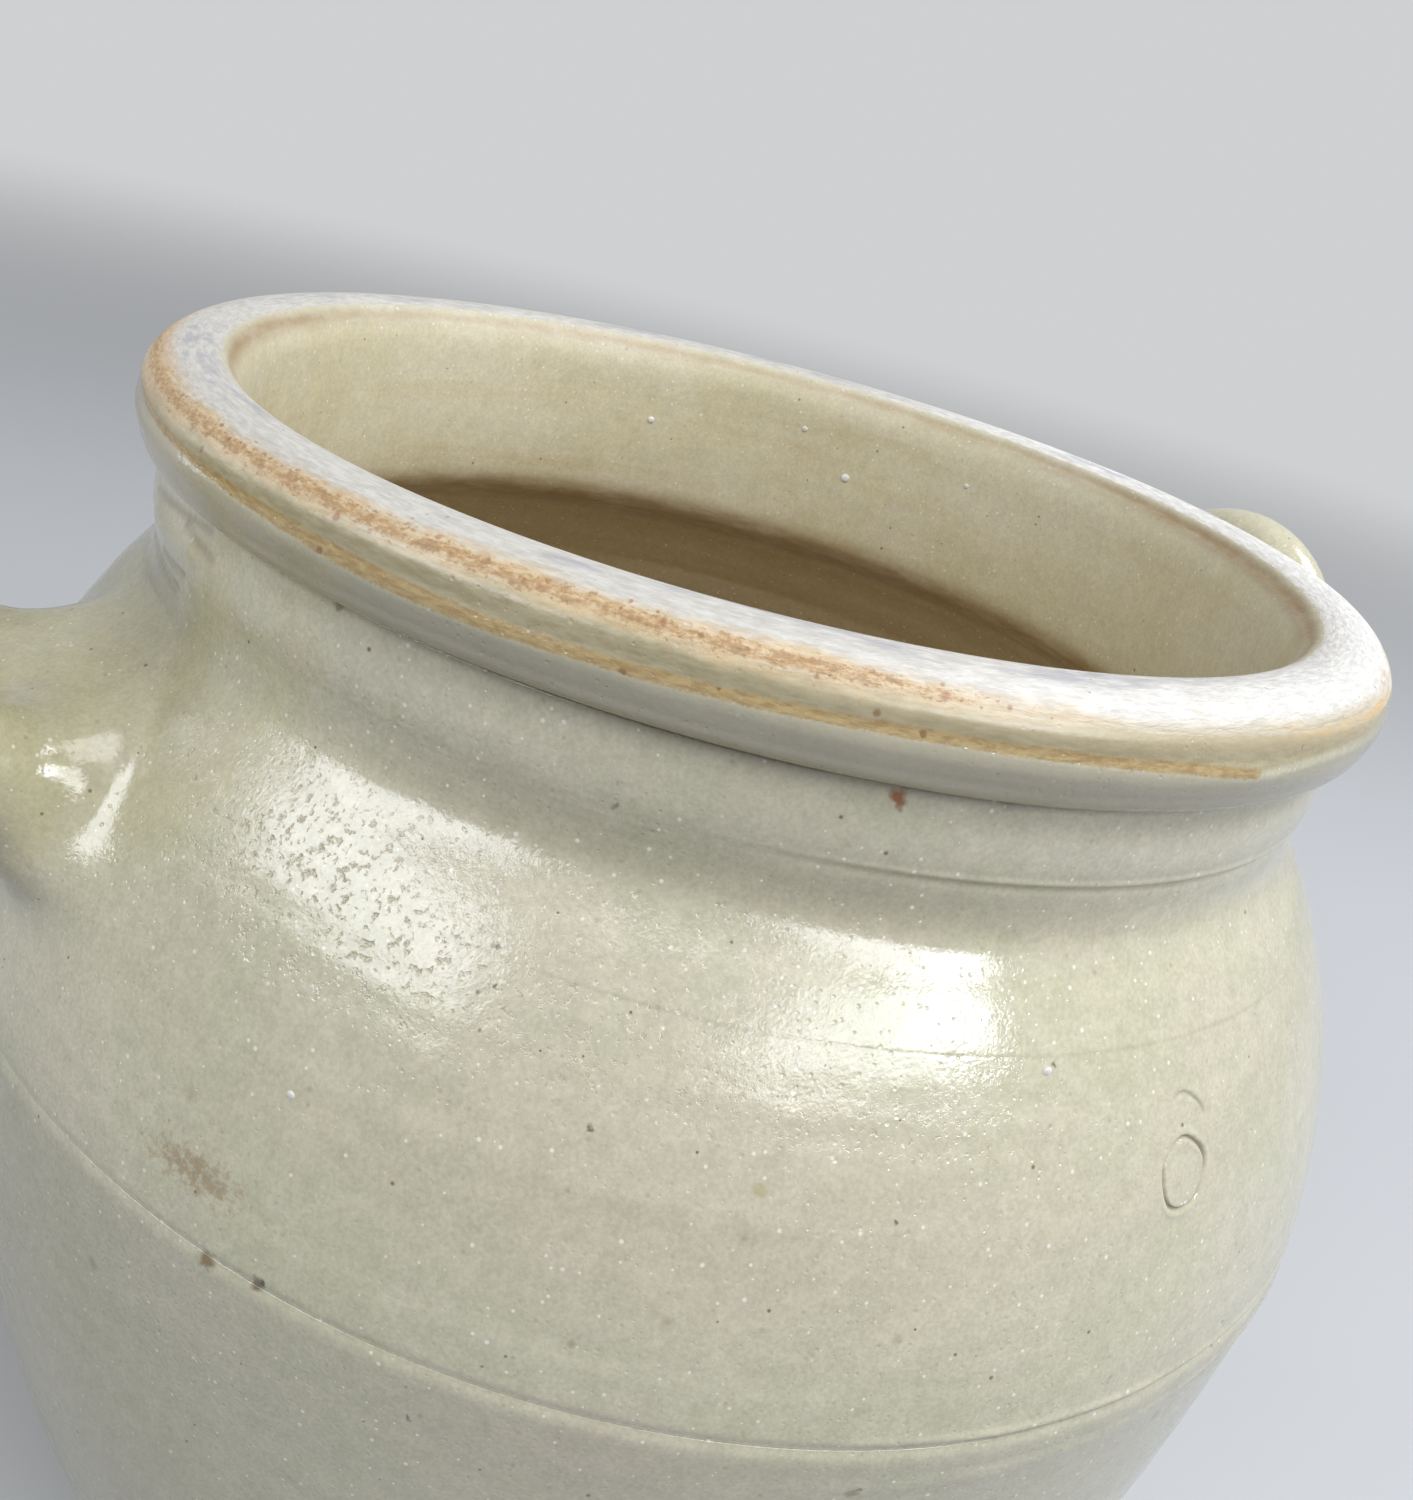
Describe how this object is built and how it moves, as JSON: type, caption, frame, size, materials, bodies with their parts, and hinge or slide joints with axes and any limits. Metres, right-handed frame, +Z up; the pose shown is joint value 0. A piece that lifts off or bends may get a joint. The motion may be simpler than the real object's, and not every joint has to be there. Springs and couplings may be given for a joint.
{
  "type": "grease pot",
  "caption": "Bulbous stoneware grease pot with a rolled rim, a short neck, a luted belly seam and raised loop handles on the shoulder.",
  "frame": {"origin": "middle of the flat base, where the pot stands", "axes": "+Z up along the pot's turning axis, the handles on +X and -X, the front on -Y"},
  "size_m": [0.2752, 0.24, 0.236],
  "materials": {
    "lower_glaze": "salt glaze over grey-beige stoneware, semi-gloss with fine orange peel",
    "upper_glaze": "salt glaze over grey-beige stoneware, semi-gloss, with a drier white and toasted rim",
    "handle_glaze": "salt glaze over grey-beige stoneware, slightly more olive than the body"
  },
  "bodies": {
    "root": {"lower_body": "lower_glaze", "upper_body": "upper_glaze", "handle_left": "handle_glaze", "handle_right": "handle_glaze"}
  },
  "joints": []
}
